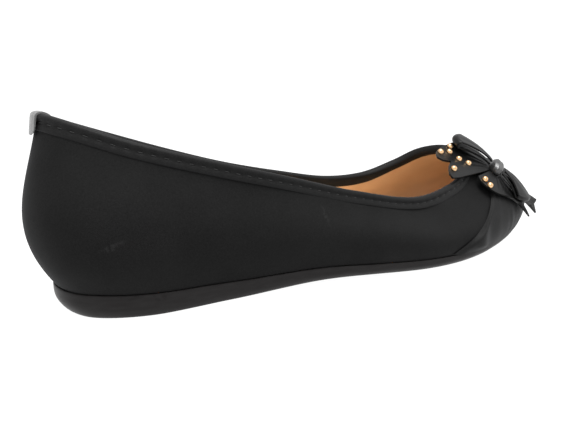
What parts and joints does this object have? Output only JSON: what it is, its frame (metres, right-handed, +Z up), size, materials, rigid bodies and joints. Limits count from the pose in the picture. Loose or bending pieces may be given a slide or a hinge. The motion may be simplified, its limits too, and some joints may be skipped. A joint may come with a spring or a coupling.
{
  "type": "ballet flat",
  "caption": "Right ballet flat with a hollow lasted upper, ruched toe piece, bound topline, low tapered sole, insole and a scalloped bow with domed studs.",
  "frame": {"origin": "on the floor, under the middle of the shoe's box", "axes": "+X from heel to toe, +Y to the inner (medial) side, +Z up"},
  "size_m": [0.2434, 0.085, 0.0654],
  "materials": {
    "sole": "glossy dark grey moulded sole",
    "upper_cloth": "black matt-satin synthetic",
    "insole": "smooth tan sock and lining",
    "trim": "soft dark trim",
    "stud": "polished gold-coloured domes"
  },
  "bodies": {
    "root": {"outsole": "sole", "upper": "upper_cloth", "insole": "insole", "topline_binding": "upper_cloth", "toe_piece": "upper_cloth", "heel_tab": "trim", "bow_leaf_far": "trim", "bow_leaf_near": "trim", "bow_loop_far": "trim", "bow_loop_near": "trim", "bow_knot": "trim", "stud_1": "stud", "stud_2": "stud", "stud_3": "stud", "stud_4": "stud", "stud_5": "stud", "stud_6": "stud", "stud_7": "stud", "stud_8": "stud"}
  },
  "joints": []
}
